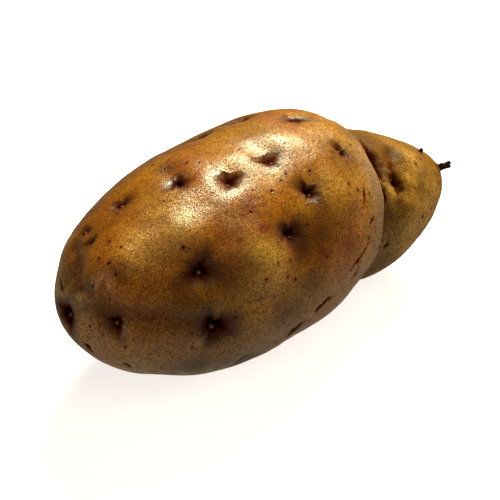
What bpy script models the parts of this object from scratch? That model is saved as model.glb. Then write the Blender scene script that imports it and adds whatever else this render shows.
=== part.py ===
"""A potato as lifted and washed: one tuber with a knob at its stolon end, the dried stub of the
stolon that it grew on, and the broken ends of two roots beside it.

Run with: blender --background --python part.py

The row frame is in metres. +X runs from the rose end to the stolon end, +Z is up, and the origin
is the middle of the small flat spot that the tuber rests on, under its centre of mass. Places
round the tuber are given by x and by an angle about the core line, from +Y towards +Z.
"""

import math

import bmesh
import bpy
from mathutils import Vector
from mathutils.bvhtree import BVHTree

MM = 0.001  # every size below is in millimetres and becomes metres through this

# ---- driving dimensions, in millimetres ----
ROSE_TIP = (-68.5, -1.5, 35.5)  # the end with the youngest buds
STOLON_TIP = (77.5, -10.0, 28.5)  # the end that hung on the plant
FLATTENING = 1.06  # a cross-section's width over its height
# Rings along each lobe: x, half width, and the y and z of the ring's middle.
MAIN_LOBE = [
    ROSE_TIP[:1] + (0,) + ROSE_TIP[1:],
    (-66, 8.5, -1.5, 35.2),
    (-57, 20, -1.4, 34.6),
    (-43, 28.5, -1.2, 33.6),
    (-25, 34, -0.6, 32.9),
    (-3, 35.5, 0, 32.5),
    (17, 34.5, 1, 32.7),
    (33, 29.5, 2, 33.8),
    (43, 22, 3, 34.3),
    (49, 13, 3.7, 34.7),
    (51, 0, 4, 35),
]
KNOB = [
    (13, 0, 10, 25.5),
    (17, 14, 8.6, 25.8),
    (27, 27, 5.6, 27),
    (41, 28.5, 1, 27.4),
    (55, 22.5, -3.4, 27.2),
    (67, 14.5, -7, 28),
    (74, 7.5, -9, 28.4),
    STOLON_TIP[:1] + (0,) + STOLON_TIP[1:],
]
STEPS_BETWEEN_RINGS = 6
RING_POINTS = 60

SKIN_GRID = 3.2  # edge length of the faces that the skin is made of
SKIN_SMOOTHING = 4
FOLD_DEPTH = 1.3  # the crease where the knob meets the main lobe
FOLD_HALF_WIDTH = 5.0

# The hollows that the eyes sit in: x, angle in degrees, width of the hollow, depth.
HOLLOWS = [
    (-67.6, 55, 14, 2.0),
    (-60.5, 162, 14, 1.5),
    (-53, 65, 12, 0.9),
    (-40.5, 68, 12, 0.9),
    (-37.5, 178, 18, 1.8),
    (-37.5, 137, 17, 1.8),
    (-25.5, 84, 12, 0.9),
    (-14, 100, 12, 0.9),
    (-6.5, 140, 15, 1.4),
    (-1, 50, 12, 0.9),
    (2.5, 94, 14, 1.1),
    (7, 121, 12, 1.1),
    (13, 53, 13, 1.0),
    (24.5, 72, 13, 0.9),
    (27, 105, 12, 0.9),
    (45.5, 141, 15, 1.5),
    (-58, 10, 14, 1.4),
    (-62, 285, 13, 1.4),
    (-45, 235, 16, 1.4),
    (-40, 330, 17, 1.6),
    (-32, 22, 16, 1.5),
    (-24, 217, 15, 1.3),
    (-14, 350, 17, 1.7),
    (-3, 219, 15, 1.3),
    (3, 12, 16, 1.5),
    (14, 318, 16, 1.5),
    (24, 245, 16, 1.4),
    (28, 32, 15, 1.4),
    (33, 350, 15, 1.4),
    (53, 45, 14, 1.5),
    (56, 300, 15, 1.6),
    (57, 245, 13, 1.2),
]

STUB_GAP = 0.3  # between the skin and the dry pieces that grew out of it
STOLON_DIRECTION = (0.84, -0.42, 0.34)
STOLON_LENGTH = 5.2
STOLON_RADII = (1.4, 0.9, 0.65, 0.5)  # from its foot to its broken end
FORK_AT = 0.45  # share of the stub's length where the thin side root leaves it
FORK_LENGTH = 2.8
FORK_RADII = (0.6, 0.3)
# The broken roots: x and angle of each, length, and radius at the foot and at the broken end.
ROOTS = [
    (65, 105, 1.2, 0.55, 0.35),
    (71, 135, 1.6, 0.6, 0.3),
]
ROOT_LEAN = (0.3, 0.0, 0.2)

SKIN_COLOUR = (0.42, 0.22, 0.06, 1.0)
DRY_COLOUR = (0.03, 0.016, 0.01, 1.0)


def clear_scene():
    for obj in list(bpy.data.objects):
        bpy.data.objects.remove(obj, do_unlink=True)


def finish_material(name, colour, roughness):
    material = bpy.data.materials.new(name)
    material.use_nodes = True
    shader = material.node_tree.nodes["Principled BSDF"]
    shader.inputs["Base Color"].default_value = colour
    shader.inputs["Roughness"].default_value = roughness
    shader.inputs["Metallic"].default_value = 0.0
    return material


def new_object(name, mesh, material=None):
    obj = bpy.data.objects.new(name, mesh)
    bpy.context.scene.collection.objects.link(obj)
    if material:
        mesh.materials.append(material)
    return obj


def baked_copy(obj):
    """The object's mesh with its modifiers applied."""
    bpy.context.view_layer.update()
    graph = bpy.context.evaluated_depsgraph_get()
    return bpy.data.meshes.new_from_object(obj.evaluated_get(graph))


def between(a, b, c, d, t):
    """The value a share t of the way from b to c, on a smooth curve through all four."""
    return 0.5 * (2 * b + (c - a) * t + (2 * a - 5 * b + 4 * c - d) * t**2 + (3 * b - a - 3 * c + d) * t**3)


def along(rows):
    """A smooth curve through the rows. The ends turn square to the axis, which rounds the tips."""
    first, last = rows[1], rows[-2]
    rows = [(first[0], -first[1], *first[2:]), *rows, (last[0], -last[1], *last[2:])]
    rings = []
    for four in zip(rows, rows[1:], rows[2:], rows[3:]):
        for step in range(STEPS_BETWEEN_RINGS):
            rings.append([between(*values, step / STEPS_BETWEEN_RINGS) for values in zip(*four)])
    return rings[1:]  # the first one is the tip itself


def ring_points(x, half_width, y, z):
    for point in range(RING_POINTS):
        turn = 2 * math.pi * point / RING_POINTS
        half_height = half_width / FLATTENING
        yield Vector((x, y + half_width * math.cos(turn), z + half_height * math.sin(turn))) * MM


def lobe_mesh(name, rows):
    """One lobe as a closed skin of rings, with a point at each tip."""
    lobe = bmesh.new()
    tips = [lobe.verts.new(Vector((row[0], row[2], row[3])) * MM) for row in (rows[0], rows[-1])]
    rings = [[lobe.verts.new(point) for point in ring_points(*ring)] for ring in along(rows)]
    for near, far in zip(rings, rings[1:]):
        for i in range(RING_POINTS):
            lobe.faces.new((near[i - 1], near[i], far[i], far[i - 1]))
    for i in range(RING_POINTS):
        lobe.faces.new((tips[0], rings[0][i], rings[0][i - 1]))
        lobe.faces.new((tips[1], rings[-1][i - 1], rings[-1][i]))
    bmesh.ops.recalc_face_normals(lobe, faces=lobe.faces)
    mesh = bpy.data.meshes.new(name)
    lobe.to_mesh(mesh)
    lobe.free()
    return mesh


def joined_lobes(main_lobe, knob):
    """Both lobes as one skin of even faces, with the join softened."""
    obj = new_object("join", main_lobe)
    other = new_object("join_knob", knob)
    union = obj.modifiers.new("union", "BOOLEAN")
    union.operation = "UNION"
    union.object = other
    remesh = obj.modifiers.new("even_faces", "REMESH")
    remesh.mode = "VOXEL"
    remesh.voxel_size = SKIN_GRID * MM
    smooth = obj.modifiers.new("soften", "SMOOTH")
    smooth.iterations = SKIN_SMOOTHING
    skin = bmesh.new()
    skin.from_mesh(baked_copy(obj))
    for helper in (obj, other):
        bpy.data.objects.remove(helper, do_unlink=True)
    return skin


def falloff(distance, reach):
    """1 at the middle, easing to 0 at the reach."""
    share = min(distance / reach, 1.0)
    return (1 - share**2) ** 2


def tree_of(mesh):
    return BVHTree.FromPolygons([v.co for v in mesh.vertices], [p.vertices for p in mesh.polygons])


def press_fold(skin, lobes):
    """Draws the crease in, where a point on one lobe's skin is close to the other lobe's."""
    trees = [tree_of(mesh) for mesh in lobes]
    moves = []
    for vert in skin.verts:
        away = max(tree.find_nearest(vert.co)[3] for tree in trees)
        moves.append(vert.normal * FOLD_DEPTH * MM * falloff(away, FOLD_HALF_WIDTH * MM))
    for vert, move in zip(skin.verts, moves):
        vert.co -= move


def core_point(x):
    """The point of the core line, which joins the two tips, at this x in millimetres."""
    share = (x - ROSE_TIP[0]) / (STOLON_TIP[0] - ROSE_TIP[0])
    return Vector(ROSE_TIP).lerp(Vector(STOLON_TIP), share) * MM


def on_skin(tree, x, degrees):
    """The point of the skin at a place, and the outward normal there."""
    turn = math.radians(degrees)
    outward = Vector((0, math.cos(turn), math.sin(turn)))
    start = core_point(x) + outward * 100 * MM
    place, normal, _, _ = tree.ray_cast(start, -outward)
    return place, normal


def press_hollows(skin):
    tree = BVHTree.FromBMesh(skin)
    places = [on_skin(tree, x, degrees) for x, degrees, _, _ in HOLLOWS]
    for (place, normal), (_, _, width, depth) in zip(places, HOLLOWS):
        for vert in skin.verts:
            vert.co -= normal * depth * MM * falloff((vert.co - place).length, width / 2 * MM)


def cut_rest_spot(skin):
    """Cuts the belly off level at z = 0 and closes it with one flat face."""
    everything = [*skin.verts, *skin.edges, *skin.faces]
    cut = bmesh.ops.bisect_plane(
        skin, geom=everything, dist=1e-7, plane_co=(0, 0, 0), plane_no=(0, 0, -1), clear_outer=True
    )
    rim = [part for part in cut["geom_cut"] if isinstance(part, bmesh.types.BMEdge)]
    for vert in {vert for edge in rim for vert in edge.verts}:
        vert.co.z = 0.0
    bmesh.ops.contextual_create(skin, geom=rim)
    bmesh.ops.recalc_face_normals(skin, faces=skin.faces)


def make_tuber(material):
    lobes = [lobe_mesh("main_lobe", MAIN_LOBE), lobe_mesh("knob_lobe", KNOB)]
    skin = joined_lobes(*[mesh.copy() for mesh in lobes])
    skin.normal_update()
    press_fold(skin, lobes)
    press_hollows(skin)
    tree = BVHTree.FromBMesh(skin)
    cut_rest_spot(skin)
    mesh = bpy.data.meshes.new("tuber")
    skin.to_mesh(mesh)
    skin.free()
    mesh.shade_smooth()
    new_object("tuber", mesh, material)
    return tree


def tapered_tube(name, points, radii):
    """A closed stick through the points, in metres, as thick at each as its radius says."""
    curve = bpy.data.curves.new(name, "CURVE")
    curve.dimensions = "3D"
    curve.bevel_depth = MM
    curve.bevel_resolution = 3
    curve.use_fill_caps = True
    spline = curve.splines.new("POLY")
    spline.points.add(len(points) - 1)
    for control, point, radius in zip(spline.points, points, radii):
        control.co = (*point, 1.0)
        control.radius = radius
    obj = new_object(name, curve)
    mesh = baked_copy(obj)
    bpy.data.objects.remove(obj, do_unlink=True)
    tube = bmesh.new()
    tube.from_mesh(mesh)
    bmesh.ops.remove_doubles(tube, verts=tube.verts, dist=1e-6)
    bmesh.ops.recalc_face_normals(tube, faces=tube.faces)
    tube.to_mesh(mesh)
    tube.free()
    return mesh


def make_stolon_stub(tree, material):
    """A dry stick with a flared foot, which splits in two where it broke."""
    direction = Vector(STOLON_DIRECTION).normalized()
    tip = Vector(STOLON_TIP) * MM
    foot = tree.ray_cast(tip + direction * 20 * MM, -direction)[0] + direction * (STUB_GAP + 0.6) * MM
    bend = Vector((0, 0, 0.4 * MM))
    shares = (0.0, 0.25, 0.65, 1.0)
    points = [foot + direction * STOLON_LENGTH * MM * share + bend * share**2 for share in shares]
    stick = new_object("stolon_stub", tapered_tube("stolon_stub", points, STOLON_RADII), material)
    fork_start = foot + direction * STOLON_LENGTH * MM * FORK_AT
    fork_way = (direction - Vector((0, 0, 0.45))).normalized()
    fork_points = [fork_start, fork_start + fork_way * FORK_LENGTH * MM]
    fork = new_object("fork", tapered_tube("fork", fork_points, FORK_RADII))
    fork.hide_render = True
    fork.display_type = "WIRE"
    union = stick.modifiers.new("fork", "BOOLEAN")
    union.operation = "UNION"
    union.object = fork


def make_root_stubs(tree, material):
    for number, (x, degrees, length, foot_radius, end_radius) in enumerate(ROOTS, start=1):
        place, normal = on_skin(tree, x, degrees)
        foot = place + normal * (STUB_GAP + 0.15) * MM
        end = foot + (normal + Vector(ROOT_LEAN)).normalized() * length * MM
        name = f"root_stub_{number}"
        new_object(name, tapered_tube(name, [foot, end], (foot_radius, end_radius)), material)


def main():
    clear_scene()
    skin_material = finish_material("potato_skin", SKIN_COLOUR, 0.45)
    dry_material = finish_material("dry_stem", DRY_COLOUR, 0.8)
    tree = make_tuber(skin_material)
    make_stolon_stub(tree, dry_material)
    make_root_stubs(tree, dry_material)


main()
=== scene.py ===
import math
import random

import bpy
import numpy as np
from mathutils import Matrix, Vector
from mathutils.bvhtree import BVHTree


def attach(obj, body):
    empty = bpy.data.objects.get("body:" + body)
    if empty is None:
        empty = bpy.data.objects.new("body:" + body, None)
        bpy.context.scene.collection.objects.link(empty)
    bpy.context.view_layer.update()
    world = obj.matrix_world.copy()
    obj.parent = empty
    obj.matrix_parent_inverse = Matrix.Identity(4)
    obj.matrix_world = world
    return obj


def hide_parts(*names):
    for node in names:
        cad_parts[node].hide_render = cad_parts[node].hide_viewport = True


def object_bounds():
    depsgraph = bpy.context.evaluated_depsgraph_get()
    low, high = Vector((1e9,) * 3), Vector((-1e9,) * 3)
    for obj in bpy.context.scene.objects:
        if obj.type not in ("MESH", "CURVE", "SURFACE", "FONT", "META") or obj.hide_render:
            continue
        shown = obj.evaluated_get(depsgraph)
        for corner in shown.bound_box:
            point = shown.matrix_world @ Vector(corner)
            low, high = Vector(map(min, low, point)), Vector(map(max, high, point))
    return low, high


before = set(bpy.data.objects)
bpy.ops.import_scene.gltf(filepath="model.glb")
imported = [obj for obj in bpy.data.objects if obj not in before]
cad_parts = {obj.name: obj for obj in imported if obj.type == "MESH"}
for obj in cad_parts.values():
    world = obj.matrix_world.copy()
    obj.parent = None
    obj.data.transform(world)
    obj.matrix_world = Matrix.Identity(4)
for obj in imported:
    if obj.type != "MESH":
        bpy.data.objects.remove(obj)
cad_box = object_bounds()
MM = 0.001


# ---- Tuber: the body of the skin ----
# The tuber is one grown piece of firm flesh under a thin corky skin. Its skin starts as a merged
# copy of the tuber's solid and is cut finer, so that small marks can be pressed into it.
SKIN_CELL = 0.78 * MM
SETTLING_PASSES = 6  # relaxes the fine skin after it is cut


def make_active(piece):
    bpy.ops.object.select_all(action="DESELECT")
    piece.select_set(True)
    bpy.context.view_layer.objects.active = piece


def apply_all(piece):
    make_active(piece)
    for modifier in list(piece.modifiers):
        bpy.ops.object.modifier_apply(modifier=modifier.name)


def merged_copy(node, name):
    """A new object with the node's mesh, its loose triangles joined up into one skin of quads."""
    copy = bpy.data.objects.new(name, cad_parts[node].data.copy())
    bpy.context.scene.collection.objects.link(copy)
    copy.data.materials.clear()
    make_active(copy)
    bpy.ops.object.mode_set(mode="EDIT")
    bpy.ops.mesh.select_all(action="SELECT")
    bpy.ops.mesh.remove_doubles(threshold=0.00001)
    bpy.ops.mesh.tris_convert_to_quads()
    bpy.ops.object.mode_set(mode="OBJECT")
    bpy.ops.object.shade_smooth()
    return copy


def cut_fine(piece, cell, passes):
    """Cuts the whole piece into even faces of this size and relaxes them."""
    faces = piece.modifiers.new("even_faces", "REMESH")
    faces.mode = "VOXEL"
    faces.voxel_size = cell
    faces.use_smooth_shade = True
    settle = piece.modifiers.new("settle", "SMOOTH")
    settle.iterations = passes
    apply_all(piece)


skin = merged_copy("tuber", "tuber_skin")
soften = skin.modifiers.new("soften", "SUBSURF")
soften.levels = soften.render_levels = 2
cut_fine(skin, SKIN_CELL, SETTLING_PASSES)


# ---- Tuber: swells and slack ----
# No tuber is turned on a lathe: it swells between its eyes, and the soil leaves it slightly
# uneven. A place on it is x from the frame's origin, in millimetres, and an angle round the core
# line, in degrees from +Y at the back towards +Z. All sizes in the lists are in millimetres.
ROSE_TIP = Vector((-68.5, -1.5, 35.5)) * MM
STOLON_TIP = Vector((77.5, -10.0, 28.5)) * MM
WELL_OUTSIDE = 100 * MM  # from the core line, where the search for the skin starts
# Swellings, and slack places below zero: x, angle, radius, height.
SWELLS = [
    (-54, 113, 9.5, 3.6),
    (-62, 108, 4.5, 1.2),
    (-37, 118, 9, 1.8),
    (-19, 94, 4, 0.55),
    (-20, 110, 5.5, 0.45),
    (-7, 88, 5, 0.8),
    (10, 86, 7, 0.8),
    (-19, 148, 8, 2.0),
    (15, 130, 8, 1.1),
    (19, 100, 8, 0.5),
    (-58, 192, 9, 1.0),
    (-24, 182, 9, 1.0),
    (2, 170, 8, 0.7),
    (-66, 70, 6, -1.0),
    (-53, 90, 3.5, -0.7),
    (-24, 72, 4, -0.8),
    (-28, 130, 4, -0.5),
    (-6, 152, 6, -0.8),
    (59, 100, 6, 0.5),
    (55.5, 119, 4.5, 1.3),
    (50.5, 139, 3.2, 1.3),
    (40.5, 143, 3.5, 1.5),
    (42, 112, 4, -1.3),
    (50, 104, 3, -0.8),
    (37.5, 163, 3.5, -1.0),
    (47, 167, 5, 0.7),
    (76.4, 140, 2.2, 1.0),
    (65, 105, 1.5, 0.4),
    (71, 134, 1.6, 0.6),
]


def uneven(piece, name, size, height, level=0.5):
    texture = bpy.data.textures.new(name, "CLOUDS")
    texture.noise_scale = size
    texture.noise_depth = 1
    lumps = piece.modifiers.new(name, "DISPLACE")
    lumps.texture = texture
    lumps.texture_coords = "LOCAL"
    lumps.strength = height
    lumps.mid_level = level
    apply_all(piece)


def points_of(piece):
    flat = np.empty(len(piece.data.vertices) * 3)
    piece.data.vertices.foreach_get("co", flat)
    return flat.reshape(-1, 3)


LEAST_PRESSED = 0.002  # a share of the deepest; points pressed in by less stay where they are


def press(piece, name, depths):
    """Presses each point of the piece in by its own depth, in metres; below zero lifts it."""
    for side, part in ((-1, np.clip(depths, 0, None)), (1, np.clip(-depths, 0, None))):
        deepest = part.max()
        if deepest <= 0:
            continue
        group = piece.vertex_groups.new(name=name)
        for point in np.flatnonzero(part > deepest * LEAST_PRESSED):
            group.add([int(point)], float(part[point] / deepest), "REPLACE")
        dent = piece.modifiers.new(name, "DISPLACE")
        dent.vertex_group = group.name
        dent.mid_level = 0.0
        dent.strength = side * deepest
        apply_all(piece)
        piece.vertex_groups.clear()


def tree_of(piece):
    return BVHTree.FromObject(piece, bpy.context.evaluated_depsgraph_get())


def core_at(x):
    return ROSE_TIP.lerp(STOLON_TIP, (x * MM - ROSE_TIP.x) / (STOLON_TIP.x - ROSE_TIP.x))


def on_skin(x, degrees):
    """The point of the skin at a place, and three directions there: out, along and around."""
    turn = math.radians(degrees)
    spoke = Vector((0, math.cos(turn), math.sin(turn)))
    place, out, _, _ = skin_tree.ray_cast(core_at(x) + spoke * WELL_OUTSIDE, -spoke)
    if place is None:  # beyond the round of the tip
        place, out, _, _ = skin_tree.find_nearest(core_at(x) + spoke * 3 * MM)
    along = (Vector((1, 0, 0)) - out * out.x).normalized()
    return place, out, along, along.cross(out)


def hill(distance, reach):
    """1 at the middle, falling away to nearly 0 at twice the reach."""
    return np.exp(-((distance / reach) ** 2))


uneven(skin, "broad_swells", 18 * MM, 0.9 * MM)
uneven(skin, "small_swells", 4.5 * MM, 0.22 * MM)
skin_tree = tree_of(skin)
skin_points = points_of(skin)
swelling = np.zeros(len(skin_points))
for x, degrees, radius, height in SWELLS:
    away = np.linalg.norm(skin_points - np.array(on_skin(x, degrees)[0]), axis=1)
    swelling += height * MM * hill(away, radius * MM)
press(skin, "swellings", -swelling)

# It rests on a small flat spot, where its own weight kept it pressed on the ground.
make_active(skin)
bpy.ops.object.mode_set(mode="EDIT")
bpy.ops.mesh.select_all(action="SELECT")
bpy.ops.mesh.bisect(plane_co=(0, 0, 0), plane_no=(0, 0, -1), use_fill=True, clear_outer=True)
bpy.ops.object.mode_set(mode="OBJECT")
skin_tree = tree_of(skin)


# ---- Tuber: where the fine marks go ----
# The eyes and the fold at the neck are finer than the rest of the skin, so the skin is cut
# once more where they are. The neck is where the knob grew out of the main lobe.

# The eyes: x, angle, turn of the long way from the tuber's length, half length, half width,
# depth, and how dark the skin is round them, darker skin with painted shade in the pit.
EYES = [
    (1.8, 97.5, 25, 2.9, 2.3, 0.8, 0.85),
    (-14, 100, 60, 2.7, 2.6, 1.3, 0.8),
    (-25.5, 84, 20, 2.2, 1.7, 1.6, 1.2),
    (-40.5, 68, 30, 1.9, 1.5, 1.5, 0.9),
    (-51.3, 57, 80, 1.4, 1.1, 1.0, 0.8),
    (-54.3, 72, 60, 1.5, 1.2, 1.3, 0.9),
    (27, 105, 65, 2.6, 1.3, 1.3, 0.8),
    (6, 122.5, 75, 2.8, 1.7, 1.8, 1.05),
    (-6.5, 140, 40, 2.4, 2.1, 2.0, 1.2),
    (-36.9, 140, 30, 2.9, 2.4, 2.1, 1.25),
    (-37.2, 178, 50, 3.1, 2.7, 2.1, 1.5),
    (-60.5, 162, 60, 2.0, 1.7, 1.7, 1.2),
    (-66.8, 15, 80, 3.0, 2.1, 1.8, 1.5),
    (13, 53, 10, 2.8, 1.6, 0.8, 1.0),
    (24.5, 72, 10, 2.8, 1.5, 0.8, 1.0),
    (-1, 50, 10, 2.6, 1.3, 0.7, 1.1),
    (45.3, 134, 85, 2.0, 1.2, 1.6, 1.0),
    (-58, 10, 80, 2.0, 1.6, 1.5, 0.9),
    (-62, 285, 80, 2.0, 1.5, 1.5, 1.0),
    (-45, 235, 80, 2.3, 1.8, 1.8, 0.9),
    (-40, 330, 70, 2.5, 2.0, 1.9, 1.0),
    (-32, 22, 100, 2.3, 1.7, 1.7, 0.9),
    (-14, 350, 80, 2.6, 2.0, 1.9, 1.0),
    (3, 12, 70, 2.6, 1.8, 1.8, 0.9),
    (14, 318, 90, 2.5, 1.9, 1.8, 1.0),
    (24, 245, 100, 2.4, 1.6, 1.6, 0.9),
    (28, 32, 80, 2.4, 1.6, 1.6, 0.8),
    (33, 350, 80, 2.3, 1.7, 1.6, 0.9),
    (53, 45, 90, 2.1, 1.5, 1.5, 0.8),
    (56, 300, 80, 2.2, 1.6, 1.6, 1.0),
    (57, 245, 80, 1.9, 1.4, 1.3, 0.9),
]
NECK_FROM, NECK_TO = 28, 58  # the stretch of x that the neck lies in
NECK_HALF_VALLEY = 4  # how far each way the skin rises out of the valley at the neck
STATION_STEP = 0.5
SHALLOWEST_VALLEY = 0.02
EYE_MARGIN = 1.2  # how far the finer skin reaches past an eye's half length
NECK_MARGIN = 2.5  # and to either side of the neck's line

turns = np.radians(np.arange(0, 360, 5))
stations = np.arange(NECK_FROM, NECK_TO, STATION_STEP)


def radius_at(x, degrees):
    return (on_skin(x, degrees)[0] - core_at(x)).length


def waves(turn):
    """What the neck's line is built from: a ring, leaned, and bent once."""
    return np.stack([turn * 0 + 1, np.cos(turn), np.sin(turn), np.cos(2 * turn), np.sin(2 * turn)], 1)


# The neck's line runs through the deepest point of the valley at each turn, and the shallow
# places count less.
valley_x = []
valley_depth = []
steps = round(NECK_HALF_VALLEY / STATION_STEP)
for turn in turns:
    profile = np.array([radius_at(x, math.degrees(turn)) for x in stations])
    hollow = profile[: -2 * steps] + profile[2 * steps :] - 2 * profile[steps:-steps]
    deepest = int(hollow.argmax())
    valley_x.append(stations[steps + deepest])
    valley_depth.append(max(float(hollow[deepest]) / MM, SHALLOWEST_VALLEY))
weights = np.array(valley_depth)[:, None]
neck_line = np.linalg.lstsq(waves(turns) * weights, np.array(valley_x) * weights[:, 0], rcond=None)[0]


def past_neck(points):
    """How far each point lies past the neck's line, in millimetres, and its turn, in radians."""
    share = (points[:, 0] - ROSE_TIP.x) / (STOLON_TIP.x - ROSE_TIP.x)
    core = np.array(ROSE_TIP) + share[:, None] * np.array(STOLON_TIP - ROSE_TIP)
    turn = np.arctan2(points[:, 2] - core[:, 2], points[:, 1] - core[:, 1])
    return points[:, 0] / MM - waves(turn) @ neck_line, turn


def refine(piece, where):
    """Cuts the faces whose middles this picks out into four."""
    centres = np.empty(len(piece.data.polygons) * 3)
    piece.data.polygons.foreach_get("center", centres)
    chosen = where(centres.reshape(-1, 3))
    make_active(piece)
    bpy.ops.object.mode_set(mode="EDIT")
    bpy.ops.mesh.select_mode(type="FACE")
    bpy.ops.mesh.select_all(action="DESELECT")
    bpy.ops.object.mode_set(mode="OBJECT")
    piece.data.polygons.foreach_set("select", chosen)
    bpy.ops.object.mode_set(mode="EDIT")
    bpy.ops.mesh.subdivide(number_cuts=1)
    bpy.ops.object.mode_set(mode="OBJECT")


def near_eyes(points):
    near = np.zeros(len(points), bool)
    for x, degrees, _, half_long, _, _, _ in EYES:
        away = np.linalg.norm(points - np.array(on_skin(x, degrees)[0]), axis=1)
        near |= away < (half_long + EYE_MARGIN) * MM
    return near


def near_marks(points):
    return near_eyes(points) | (np.abs(past_neck(points)[0]) < NECK_MARGIN)


refine(skin, near_marks)


# ---- Tuber: the fold at the neck, and furrows ----
# A second growth pushed out of the stolon end as a knob. The main lobe's lip stands over the fold
# between them, and the skin cracked along the lip and creased on the knob as it stretched.
FOLD_DEPTH = 1.5
FOLD_HALF_WIDTH = 0.9
FOLDED_VALLEY = 1.5  # where the valley is at least this deep, the fold has its whole depth
LIP_HEIGHT = 0.8
LIP_SETBACK = 2.8  # from the fold back to the crown of the lip
LIP_HALF_WIDTH = 1.6
# Furrows and cracks: their places in order, half width, depth, and how dark, a painted shade in them.
FURROWS = [
    ([(27.5, 130), (23.7, 144)], 0.45, 0.6, 0.9),
    ([(27.5, 153), (24.1, 159)], 0.45, 0.6, 0.9),
    ([(24.7, 168), (18, 176), (13, 180)], 0.5, 0.6, 0.9),
    ([(18.4, 183.5), (14.7, 189.6)], 0.45, 0.5, 0.9),
    ([(4, 192), (-0.4, 197)], 1.0, 0.8, 1.0),
    ([(-6, 201), (-10.6, 208)], 1.0, 0.8, 1.0),
    ([(-23, 210), (-26, 222)], 0.7, 0.6, 0.9),
    ([(-65.7, 223), (-64.3, 234)], 0.8, 0.9, 1.0),
    ([(-59.3, 214), (-57.7, 218)], 0.7, 0.8, 1.0),
    ([(-62.5, 42), (-64.6, 50)], 0.5, 0.6, 1.0),
    ([(-55.5, 51.5), (-62.7, 83), (-64.8, 110), (-64.3, 136), (-56, 158), (-44.6, 168)], 3.5, 1.6, 0.3),
    ([(-44.6, 168), (-28, 165), (-12, 176), (-4, 184)], 4.0, 0.6, 0.1),
    ([(51.4, 101), (47.7, 112), (46.5, 124), (45.3, 134)], 1.8, 0.7, 0.45),
    ([(45.3, 134), (44.6, 146), (43, 154)], 1.0, 0.7, 0.45),
    ([(44.5, 84), (43.2, 96), (42.4, 104), (41.6, 116), (40.8, 130)], 1.0, 1.1, 0.95),
    ([(38, 192), (36.5, 200)], 0.6, 0.5, 0.7),
    ([(60, 104), (60.6, 107)], 0.5, 0.4, 0.6),
    ([(54, 182), (54.5, 187)], 0.8, 0.5, 0.6),
]


def near_path(points, path):
    """Each point's distance from a path over the skin, and how far along it that is, 0 to 1."""
    ticks = np.linspace(0, len(path) - 1, 4 * len(path) - 3)
    xs, angles = (np.interp(ticks, range(len(path)), column) for column in zip(*path))
    stops = [np.array(on_skin(x, degrees)[0]) for x, degrees in zip(xs, angles)]
    lengths = [np.linalg.norm(end - start) for start, end in zip(stops, stops[1:])]
    nearest = np.full(len(points), np.inf)
    share = np.zeros(len(points))
    done = 0.0
    for start, end, length in zip(stops, stops[1:], lengths):
        way = np.clip((points - start) @ (end - start) / length**2, 0, 1)
        away = np.linalg.norm(points - start - way[:, None] * (end - start), axis=1)
        closer = away < nearest
        nearest[closer] = away[closer]
        share[closer] = (done + way[closer] * length) / sum(lengths)
        done += length
    return nearest, share


skin_points = points_of(skin)
depths = np.zeros(len(skin_points))
stain_and_shade = np.zeros(len(skin_points))

past, around_neck = past_neck(skin_points)
fold_share = np.interp(around_neck % (2 * math.pi), turns, valley_depth, period=2 * math.pi)
fold_share = np.clip(fold_share / FOLDED_VALLEY, 0, 1)
depths += fold_share * FOLD_DEPTH * MM * hill(past, FOLD_HALF_WIDTH)
depths -= fold_share * LIP_HEIGHT * MM * hill(past + LIP_SETBACK, LIP_HALF_WIDTH)
# The fold is darkened with painted shade.
stain_and_shade = np.maximum(stain_and_shade, 0.8 * fold_share * hill(past, FOLD_HALF_WIDTH * 0.9))

# A furrow's sides waver, each in its own way, and it is shallower towards both ends.
for path, half_width, depth, dark in FURROWS:
    away, share = near_path(skin_points, path)
    first_x, first_angle = path[0]
    wavering = 1 + 0.3 * np.sin(7 * share + first_x) + 0.2 * np.sin(19 * share + first_angle)
    shape = hill(away * wavering, half_width * MM) * (0.5 + 0.5 * np.sin(share * math.pi))
    depths += depth * MM * shape
    # A furrow is darkened with painted shade.
    stain_and_shade = np.maximum(stain_and_shade, dark * shape)


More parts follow.
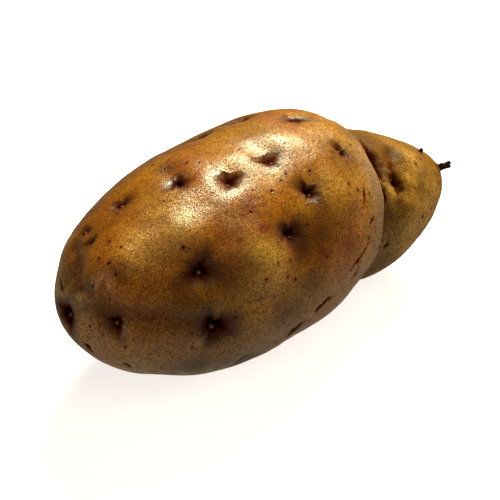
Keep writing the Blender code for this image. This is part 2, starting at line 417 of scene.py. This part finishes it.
# ---- Tuber: eyes ----
# Each eye is a ragged pit with the scar of a scale leaf as its brow, creases that run out of it,
# and one or two buds at the bottom. They wind round the tuber, closest at the rose end.
HOLLOW_REACH = 4.0
HOLLOW_DEPTH = 0.15
BROW_HEIGHT = 0.22
WRINKLE_DEPTH = 0.25
WRINKLE_HALF_WIDTH = 0.4
BUD_RADIUS = 0.4
BUD_HEIGHT = 0.55  # a share of the eye's depth
THROUGH_SKIN = 6.0  # how far in and out from its place an eye's marks reach
EDGE_WAVES = ((2, 0.12), (3, 0.16), (5, 0.11), (8, 0.07))  # round an eye: how many, how deep
random_for_eyes = random.Random(12)
bud_shine = np.zeros(len(skin_points))
halo = np.zeros(len(skin_points))
for x, degrees, turn, half_long, half_wide, depth, dark in EYES:
    place, out, along, around = on_skin(x, degrees)
    cosine, sine = math.cos(math.radians(turn)), math.sin(math.radians(turn))
    away = (skin_points - np.array(place)) / MM
    u = away @ np.array(along * cosine + around * sine)
    v = away @ np.array(around * cosine - along * sine)
    near = hill(away @ np.array(out), THROUGH_SKIN)
    r = np.hypot(u, v)
    bearing = np.arctan2(v, u)
    ragged = 1.0
    for count, swing in EDGE_WAVES:
        ragged = ragged + swing * np.sin(count * bearing + random_for_eyes.uniform(0, 2 * math.pi))
    r_oval = np.hypot(u / half_long, v / half_wide) / ragged
    hollow = HOLLOW_DEPTH * hill(r, HOLLOW_REACH)
    funnel = 0.5 * depth * hill(r_oval, 1.15)
    core = 0.5 * depth * hill(r_oval, 0.5)
    brow_way = random_for_eyes.uniform(-0.6, 0.6) - math.pi / 2
    brow_side = np.clip(np.cos(bearing - brow_way), 0, 1) ** 2
    brow = BROW_HEIGHT * hill(r_oval - 1.5, 0.35) * brow_side
    wrinkles = 0.0
    for _ in range(random_for_eyes.choice((1, 2, 2, 3))):
        way = random_for_eyes.uniform(0, 2 * math.pi)
        across = np.abs(-u * math.sin(way) + v * math.cos(way))
        outward = u * math.cos(way) + v * math.sin(way)
        wrinkle = hill(across, WRINKLE_HALF_WIDTH) * hill(outward - half_long * 0.8, half_long * 0.7)
        wrinkles = wrinkles + WRINKLE_DEPTH * wrinkle
    buds = 0.0
    for _ in range(random_for_eyes.choice((1, 1, 2))):
        bud_u = random_for_eyes.uniform(-0.35, 0.35) * half_long
        bud_v = random_for_eyes.uniform(0.0, 0.4) * half_wide
        buds = buds + hill(np.hypot(u - bud_u, v - bud_v), BUD_RADIUS)
    pit = hollow + funnel + core - brow + wrinkles - BUD_HEIGHT * depth * buds
    depths += near * MM * pit
    # An eye's stain and its ring are darker skin, with painted shade in the pit and round the darkest
    # eyes.
    stain_and_shade = np.maximum(stain_and_shade, dark * near * np.clip(hill(r_oval, 0.95) + 0.8 * wrinkles, 0, 1))
    halo = np.maximum(halo, dark * near * hill(r_oval, 2.2))
    bud_shine = np.maximum(bud_shine, near * np.clip(buds * 1.3 - 0.3, 0, 1))
press(skin, "marks", depths)


# ---- Tuber: where its colours change ----
# The skin is not one colour: it is yellow where it is thin, russet where it rubbed or healed,
# and corky and pale along the lip. Pale patches and the paler belly are partly painted reflection
# and painted light, and the dark patches and the darker back are painted shade.
CORK_SETBACK = 4.5  # from the fold back to the middle of the corky band
CORK_HALF_WIDTH = 5.0

# Patches of other colours, painted light and painted shade: x, angle, radius, and how strong.
PATCHES = {
    "yellow": [
        (-18.4, 147, 7, 1.3),
        (-22, 153, 6, 1.0),
        (-8, 88, 9, 0.25),
        (12, 80, 9, 0.2),
        (-49, 112, 7, 0.5),
        (-54, 116, 4.5, 0.8),
        (-39, 117, 6, 0.25),
        (-22, 121, 4.5, 0.25),
        (-17, 156, 6, 1.0),
        (14, 126, 8, 0.9),
        (24, 122, 7, 0.7),
        (30, 96, 9, 0.7),
        (55, 119, 6, 1.0),
        (40.5, 143, 4, 1.2),
        (57, 92, 5, 0.5),
        (50, 140, 4, 1.1),
        (62, 165, 6, 0.8),
        (52, 176, 7, 0.7),
        (40.5, 157, 3.5, 1.0),
        (49, 145, 4, 1.2),
        (59, 172, 5, 0.7),
        # Painted light on the knob's lit underside, over its yellower skin.
        (47, 192, 8, 1.0),
        (57, 190, 8, 1.0),
        (48, 210, 7, 1.0),
        (64, 178, 5, 0.8),
    ],
    "russet": [
        (-15, 120, 3.0, 1.0),
        (-15, 132, 2.6, 1.0),
        (-28, 124, 4.5, 0.15),
        (-12, 124, 3.5, 0.6),
        (-57, 119, 3.5, 0.9),
        (-52, 160, 3.0, 0.9),
        (12.5, 163, 3.5, 0.8),
        (72.5, 132, 2.0, 1.0),
        (76.4, 140, 2.0, 1.0),
        (65, 105, 1.2, 0.8),
        (-20, 108, 4.0, 0.4),
        (-22, 130, 6.5, 0.15),
        (18, 140, 5.0, 0.6),
        (13, 126, 6.0, 0.35),
        (21.5, 125, 5.0, 0.35),
        (13.5, 146, 5.0, 0.35),
        (-27.5, 94, 2.5, 0.7),
        (9, 113, 5, 0.35),
        (7, 137, 5, 0.3),
        (-9, 147, 5, 0.3),
    ],
    # Partly paler skin; mostly painted reflection along the bottom and the left rim, a painted sheen
    # below the highlight, and painted light on the knob's underside.
    "pale": [
        (43, 182, 7, 0.35),
        (55, 182, 8, 0.35),
        (64, 180, 7, 0.35),
        (-25, 167, 8, 0.4),
        (48, 205, 8, 0.35),
        (-65, 203, 6, 0.9),
        (-58, 203, 7, 0.9),
        (-64, 30, 6, 0.9),
        (-39, 117, 6, 0.25),
        (-22, 121, 4.5, 0.25),
        (29, 159, 5, 0.5),
        (34, 172, 5, 0.6),
        (34, 188, 6, 0.6),
        (29, 176, 5, 0.4),
        (60, 126, 6, 0.3),
    ],
    # Painted shade: in valleys and hollows, round eyes, along the bottom edge, on the left rim and in
    # the knob's hollows.
    "painted_shade": [
        (-56, 54, 5, 1.0),
        (-60, 68, 5, 0.8),
        (-61, 148, 6, 0.8),
        (-56, 158, 5, 0.7),
        (-31, 150, 7, 0.65),
        (4, 146, 7, 0.9),
        (-23, 69, 3.5, 0.8),
        (46, 84, 7, 0.7),
        (37, 88, 5, 0.6),
        (60, 84, 5, 0.5),
        (-64, 118, 4, 0.9),
        (-4.5, 149, 5, 1.0),
        (1, 158, 5, 0.3),
        (8, 150, 5, 0.6),
        (-14, 178, 7, 0.6),
        (-62, 68, 5, 0.9),
        (-64, 90, 5, 0.9),
        (-64, 125, 4, 0.6),
        (-46, 163, 8, 0.9),
        (-39, 166, 6, 0.7),
        (-65.5, 122, 4.5, 1.0),
        (-61.5, 156, 5, 1.0),
        (-13, 184, 7, 0.8),
        (-5, 172, 6, 0.8),
        (-48, 160, 6, 0.35),
        (-33, 182, 7, 0.35),
        (-18, 40, 7, 0.5),
        (42, 110, 4, 1.0),
        (44, 100, 3, 0.8),
        (38, 162, 3.5, 0.9),
        (51, 103, 4, 1.0),
        (45, 133, 3, 1.0),
        (43, 154, 2.5, 0.9),
        (37, 172, 4, 0.4),
        (-11.5, 140, 4, 0.7),
        (-42, 210, 7, 1.0),
        (-24, 221, 7, 0.9),
        (-9, 207, 6, 0.8),
        (-31, 212, 6, 0.6),
        (26, 108, 8, 0.75),
        (8, 76, 9, 0.3),
        (-45, 72, 7, 0.35),
        (-34, 76, 6, 0.25),
        (13.5, 146, 4, 0.4),
        (-63.5, 110, 4, 1.1),
        (-63.5, 139, 4.5, 1.1),
        (-54, 72, 4, 0.8),
        (-7, 154, 4.5, 0.9),
        (52, 111, 3.5, 1.0),
        (75.5, 138, 3, 1.0),
        (72, 128, 2.5, 0.8),
        (42, 119, 3, 1.0),
        (40.6, 133, 2.5, 0.7),
    ],
}


def fade(values, start, end, least=0.0):
    """0 where a value is at the start, rising evenly to 1 at the end, and never below the least."""
    return np.clip((values - start) / (end - start), least, 1)


def paint(piece, name, values):
    """Keeps a number for each point, which the piece's material reads by this name."""
    piece.data.attributes.new(name, "FLOAT", "POINT").data.foreach_set("value", values)


degrees_round = np.degrees(around_neck)  # 0 at the back, 90 on top
degrees_under = degrees_round % 360  # 180 in front, 270 underneath
# The belly is made paler, a painted reflection of the floor, and the back is made darker, a painted
# shade.
belly = fade(degrees_under, 160, 185) * fade(degrees_under, 320, 280)
back = fade(degrees_round, 66, 44) * fade(degrees_round, -80, -20)
back = back * fade(skin_points[:, 0] / MM, -60, -45)
whole_sides = {"pale": 0.6 * belly, "painted_shade": 0.65 * back}
for patches_name, patches in PATCHES.items():
    values = whole_sides.get(patches_name, np.zeros(len(skin_points)))
    for x, degrees, radius, strength in patches:
        away = np.linalg.norm(skin_points - np.array(on_skin(x, degrees)[0]), axis=1)
        values = np.maximum(values, strength * hill(away, radius * MM))
    paint(skin, patches_name, values)
cork_side = fade(degrees_under, 80, 115, 0.2) * fade(degrees_under, 265, 235, 0.2)
paint(skin, "cork", hill(past + CORK_SETBACK, CORK_HALF_WIDTH) * cork_side)
paint(skin, "knob", fade(past, -1, 1))
paint(skin, "stain_and_shade", stain_and_shade)
paint(skin, "halo", halo)
paint(skin, "bud", bud_shine)


# ---- Tuber: the skin's finish ----
# Washed potato skin: golden ochre mottled with brown, pricked all over with dark lenticels, and
# slightly waxy, so that light breaks up on its fine grain.
def colour(red, green, blue):
    """A colour as seen, 0 to 255, as the shader wants it."""
    seen = np.array([red, green, blue]) / 255
    return (*np.where(seen > 0.04, ((seen + 0.055) / 1.055) ** 2.4, seen / 12.92).tolist(), 1.0)


class Wiring:
    """Adds nodes to a material or a world. A value given for an input is either a number or
    another node's output, which is then linked."""

    def __init__(self, owner, shader):
        owner.use_nodes = True
        self.owner = owner
        self.nodes = owner.node_tree.nodes
        self.links = owner.node_tree.links
        self.shader = self.nodes[shader]

    def set(self, node, inputs):
        for key, value in inputs.items():
            if isinstance(value, bpy.types.NodeSocket):
                self.links.new(value, node.inputs[key])
            else:
                node.inputs[key].default_value = value

    def add(self, kind, inputs=None, output=0, **settings):
        node = self.nodes.new("ShaderNode" + kind)
        for key, value in settings.items():
            setattr(node, key, value)
        self.set(node, inputs or {})
        return node.outputs[output]

    def own_place(self):
        """Where each point is on the piece itself."""
        return self.add("TexCoord", output="Object")

    def kept(self, name):
        """The number that paint() kept on the piece under this name."""
        return self.add("Attribute", output="Fac", attribute_name=name)

    def noise(self, place, size, detail, roughness):
        inputs = {"Vector": place, "Scale": 1 / size, "Detail": detail, "Roughness": roughness}
        return self.add("TexNoise", inputs)

    def ramp(self, value, low, high, to_low=0.0, to_high=1.0, course="SMOOTHSTEP"):
        """The value from low to high, as to_low to to_high, clamped."""
        inputs = {"Value": value, "From Min": low, "From Max": high, "To Min": to_low, "To Max": to_high}
        return self.add("MapRange", inputs, interpolation_type=course)

    def maths(self, operation, *values):
        return self.add("Math", dict(enumerate(values)), operation=operation)

    def times(self, first, second):
        return self.maths("MULTIPLY", first, second)

    def plus(self, first, second):
        return self.maths("ADD", first, second)

    def mix(self, share, first, second):
        """The first colour at a share of 0, the second at 1."""
        return self.add("Mix", {0: share, 6: first, 7: second}, output=2, data_type="RGBA")

    def dots(self, place, spacing, radius, most):
        """Round dots, one to a cell, from none up to this radius; a cell's share of it is random."""
        cell = self.nodes.new("ShaderNodeTexVoronoi")
        self.set(cell, {"Vector": place, "Scale": 1 / spacing})
        share = self.add("SeparateColor", {"Color": cell.outputs["Color"]}, output="Red")
        reach = self.ramp(share, 1 - most, 1.0, 0.0, radius / spacing)
        inside = self.maths("SUBTRACT", reach, cell.outputs["Distance"])
        return self.ramp(inside, -0.02, 0.09)


def finish_named(name):
    """A new material, ready to be wired."""
    return Wiring(bpy.data.materials.new(name), "Principled BSDF")


wax = finish_named("potato_skin")
place = wax.own_place()
stained_and_shaded = wax.kept("stain_and_shade")
halo_round_eyes = wax.kept("halo")
on_knob = wax.kept("knob")
on_cork = wax.kept("cork")
on_bud = wax.kept("bud")

# The ground colours, from the broadest patches to the finest, with painted light and painted shade among
# them, and a netting of darker skin.
broad = wax.noise(place, 30 * MM, 3.0, 0.6)
middle = wax.noise(place, 8 * MM, 4.0, 0.6)
fine = wax.noise(place, 1.4 * MM, 4.0, 0.7)
netting = wax.ramp(wax.noise(place, 0.5 * MM, 1.0, 0.5), 0.4, 0.62)
ragged_edge = wax.ramp(fine, 0.3, 0.6, 0.5, 1.0)
ground = wax.mix(wax.ramp(broad, 0.36, 0.64), colour(212, 152, 38), colour(196, 118, 20))
ground = wax.mix(wax.ramp(middle, 0.45, 0.75, 0.0, 0.6), ground, colour(142, 70, 8))
ground = wax.mix(wax.times(on_knob, 0.85), ground, colour(148, 112, 40))
ground = wax.mix(wax.times(wax.kept("yellow"), 0.9), ground, colour(238, 188, 84))
# Paler skin, with painted reflection and painted light.
ground = wax.mix(wax.times(wax.kept("pale"), 0.8), ground, colour(190, 168, 126))
# Painted shade.
ground = wax.mix(wax.times(wax.kept("painted_shade"), 0.8), ground, colour(74, 49, 20))
ground = wax.mix(wax.times(wax.kept("russet"), ragged_edge), ground, colour(134, 58, 12))
ground = wax.mix(wax.times(on_cork, ragged_edge), ground, colour(184, 156, 122))
ground = wax.mix(wax.ramp(fine, 0.42, 0.75, 0.0, 0.5), ground, colour(112, 58, 14))
ground = wax.mix(wax.times(netting, 0.5), ground, colour(104, 56, 20))

# Lenticels: many fine pricks, and fewer large ones with a brown ring round them.
pricks = wax.dots(place, 0.8 * MM, 0.27 * MM, 0.8)
spots = wax.dots(place, 2.6 * MM, 0.6 * MM, 0.45)
rings = wax.dots(place, 2.6 * MM, 1.3 * MM, 0.4)
fewer_on_knob = wax.ramp(on_knob, 0.0, 1.0, 0.75, 0.4)
ground = wax.mix(wax.times(rings, 0.4), ground, colour(140, 70, 14))
ground = wax.mix(wax.times(pricks, fewer_on_knob), ground, colour(84, 38, 10))
ground = wax.mix(spots, ground, colour(74, 31, 9))

# The eyes darken and redden the skin round them; the near-black at the bottom of the pits and round
# the darkest eyes, and the dark in the fold and the furrows, is painted shade on top of that.
ragged_stain_and_shade = wax.plus(stained_and_shaded, wax.ramp(fine, 0.3, 0.7, -0.2, 0.2))
ground = wax.mix(wax.ramp(halo_round_eyes, 0.1, 0.9, 0.0, 0.9), ground, colour(90, 47, 14))
ground = wax.mix(wax.ramp(halo_round_eyes, 0.7, 1.25, 0.0, 0.8), ground, colour(44, 23, 8))
ground = wax.mix(wax.ramp(ragged_stain_and_shade, 0.1, 0.6), ground, colour(104, 44, 12))
ground = wax.mix(wax.ramp(ragged_stain_and_shade, 0.45, 1.0), ground, colour(42, 17, 7))
ground = wax.mix(wax.times(on_bud, 0.8), ground, colour(196, 140, 120))

# The grain: low domes all over, with the lenticels pressed in between them.
grains = wax.add("TexVoronoi", {"Vector": place, "Scale": 1 / (0.48 * MM)})
domes = wax.ramp(grains, 0.0, 0.75, 1.0, 0.0)
grain = wax.add("Bump", {"Height": domes, "Distance": 0.042 * MM})
grain = wax.add("Bump", {"Height": pricks, "Distance": -0.05 * MM, "Normal": grain})
grain = wax.add("Bump", {"Height": spots, "Distance": -0.08 * MM, "Normal": grain})

# It is smoothest on the buds, and roughest in the eyes, on the knob and on the corky lip.
dullness = wax.maths("SUBTRACT", wax.ramp(middle, 0.3, 0.7, 0.31, 0.39), wax.times(on_bud, 0.2))
dullness = wax.plus(dullness, wax.times(on_knob, 0.2))
dullness = wax.plus(dullness, wax.times(on_cork, 0.2))
dullness = wax.plus(dullness, wax.times(stained_and_shaded, 0.3))

# The wax is thin over the netting, the lenticels, the eyes and the knob, and shines pale yellow.
bare_spots = wax.maths("MAXIMUM", wax.times(netting, 0.6), wax.maths("MAXIMUM", pricks, spots))
shine = wax.times(wax.ramp(stained_and_shaded, 0.1, 0.6, 1.0, 0.05), wax.ramp(bare_spots, 0.0, 1.0, 1.0, 0.1))
shine = wax.times(shine, wax.ramp(on_knob, 0.0, 1.0, 1.0, 0.25))
shine = wax.times(shine, wax.ramp(halo_round_eyes, 0.8, 1.3, 1.0, 0.3))
wax.set(wax.shader, {"Base Color": ground, "Roughness": dullness, "Normal": grain, "IOR": 1.5})
wax.set(wax.shader, {"Specular IOR Level": shine, "Specular Tint": (0.93, 1.0, 0.82, 1.0)})
wax.set(wax.shader, {"Subsurface Weight": 0.05, "Subsurface Scale": 1.5 * MM})
wax.set(wax.shader, {"Subsurface Radius": (1.0, 0.5, 0.2)})
skin.data.materials.append(wax.owner)
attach(skin, "root")
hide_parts("tuber")


# ---- Stolon and root stubs ----
# The dead end of the stolon that the tuber hung on, forked where it broke off, and two broken
# rootlets beside it. Dry and woody, shrunk on their fibres, and still held by the skin.
FIBRE_CELL = 0.12 * MM
FIBRE_LEAN = (0, 0.35, -0.46)  # turns the grain the way the stolon points
FIBRE_STRETCH = (0.25, 1, 1)  # makes the grain four times as long as it is wide
dry = finish_named("dry_stem")
dry_place = dry.own_place()
fibre_place = {"Vector": dry_place, "Rotation": FIBRE_LEAN, "Scale": FIBRE_STRETCH}
fibres = dry.noise(dry.add("Mapping", fibre_place), 0.35 * MM, 3.0, 0.6)
blotches = dry.noise(dry_place, 0.9 * MM, 3.0, 0.6)
bark = dry.mix(dry.ramp(fibres, 0.38, 0.66), colour(48, 26, 18), colour(88, 60, 46))
bark = dry.mix(dry.ramp(blotches, 0.5, 0.72, 0.0, 0.7), bark, colour(30, 17, 14))
ridges = dry.add("Bump", {"Height": fibres, "Distance": 0.12 * MM})
dry.set(dry.shader, {"Base Color": bark, "Roughness": 0.75, "Normal": ridges})
for node in ("stolon_stub", "root_stub_1", "root_stub_2"):
    stub = merged_copy(node, "dry_" + node)
    rounding = stub.modifiers.new("rounding", "SUBSURF")
    rounding.levels = rounding.render_levels = 1
    cut_fine(stub, FIBRE_CELL, 2)
    uneven(stub, node + "_knots", 1.3 * MM, 0.4 * MM, -0.2)
    uneven(stub, node + "_fibres", 0.4 * MM, 0.15 * MM, 0.5)
    stub.data.materials.append(dry.owner)
    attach(stub, "root")
    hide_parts(node)


# ---- Studio ----
# A plain pale floor in a white room, a small key light high behind on the right, wide warm
# lights above the front and on both sides, and a camera that looks down from the front left.
low, high = cad_box
middle_of_box = (Vector(low) + Vector(high)) / 2
WHITE = (1.0, 1.0, 1.0, 1.0)
WARM = (1.0, 0.9, 0.66)
KEY_TINT = (0.97, 1.0, 0.84)


def looking(azimuth, elevation):
    """The direction from the object to something that stands this way round it."""
    a, e = math.radians(azimuth), math.radians(elevation)
    return Vector((math.sin(a) * math.cos(e), -math.cos(a) * math.cos(e), math.sin(e)))


# The floor glows more further out, so that it meets the white room without an edge.
bpy.ops.object.select_all(action="DESELECT")
bpy.ops.mesh.primitive_plane_add(size=6.0, location=(0, 0, 0))
floor = bpy.context.object
floor.name = "floor"
pale = finish_named("pale_floor")
pale.set(pale.shader, {"Base Color": (0.85, 0.85, 0.85, 1.0), "Roughness": 0.7})
from_middle = pale.add("VectorMath", {0: pale.own_place()}, output="Value", operation="LENGTH")
glow = pale.ramp(from_middle, 0.12, 0.5, 0.75, 1.05)
pale.set(pale.shader, {"Emission Color": WHITE, "Emission Strength": glow})
floor.data.materials.append(pale.owner)
floor.visible_diffuse = False
floor.visible_glossy = False


def light(name, azimuth, elevation, distance, size, watts, tint, mirrored=True):
    """A square light that faces the object; one that isn't mirrored makes no highlight."""
    direction = looking(azimuth, elevation)
    bpy.ops.object.light_add(type="AREA", location=middle_of_box + direction * distance)
    lamp = bpy.context.object
    lamp.name = name
    lamp.rotation_euler = direction.to_track_quat("Z", "Y").to_euler()
    lamp.data.size = size
    lamp.data.energy = watts
    lamp.data.color = tint
    lamp.visible_glossy = mirrored


light("key", 122, 49, 0.9, 0.36, 12, KEY_TINT)
light("overhead", -15, 58, 1.2, 1.0, 4.6, WARM, mirrored=False)
light("left_wall", -105, 8, 1.4, 1.2, 6.5, WARM)
light("right_wall", 72, 3, 1.4, 0.6, 15, WARM, mirrored=False)

# The room: white to the eye, dim and warm on the object, and brighter from below than from above.
world = bpy.data.worlds.new("studio")
bpy.context.scene.world = world
room = Wiring(world, "Background")
upward = room.add("SeparateXYZ", {0: room.add("TexCoord", output="Generated")}, output="Z")
to_camera = room.add("LightPath", output="Is Camera Ray")
in_highlights = room.add("LightPath", output="Is Glossy Ray")
ambient = room.ramp(upward, -0.4, 0.15, 0.45, 0.05, "LINEAR")
reflected = room.ramp(upward, -0.4, 0.15, 0.4, 0.03, "LINEAR")
on_object = room.ramp(in_highlights, 0.0, 1.0, ambient, reflected, "LINEAR")
strength = room.ramp(to_camera, 0.0, 1.0, on_object, 1.3, "LINEAR")
tint = room.mix(to_camera, (1.0, 0.92, 0.8, 1.0), WHITE)
room.set(room.shader, {"Color": tint, "Strength": strength})

# Plain colours, with the middle tones a little deeper.
bpy.context.scene.view_settings.view_transform = "Standard"
bpy.context.scene.view_settings.gamma = 0.82

CAMERA_AIM = Vector((-5.3, -1.2, -5.9)) * MM  # from the middle of the object's box
CAMERA_AWAY = 450 * MM
camera_side = looking(-41.9, 35.9)
bpy.ops.object.camera_add(location=middle_of_box + CAMERA_AIM + camera_side * CAMERA_AWAY)
camera = bpy.context.object
camera.rotation_euler = camera_side.to_track_quat("Z", "Y").to_euler()
camera.data.lens = 104.4
camera.data.sensor_width = 36
camera.data.clip_start = 0.01
bpy.context.scene.camera = camera
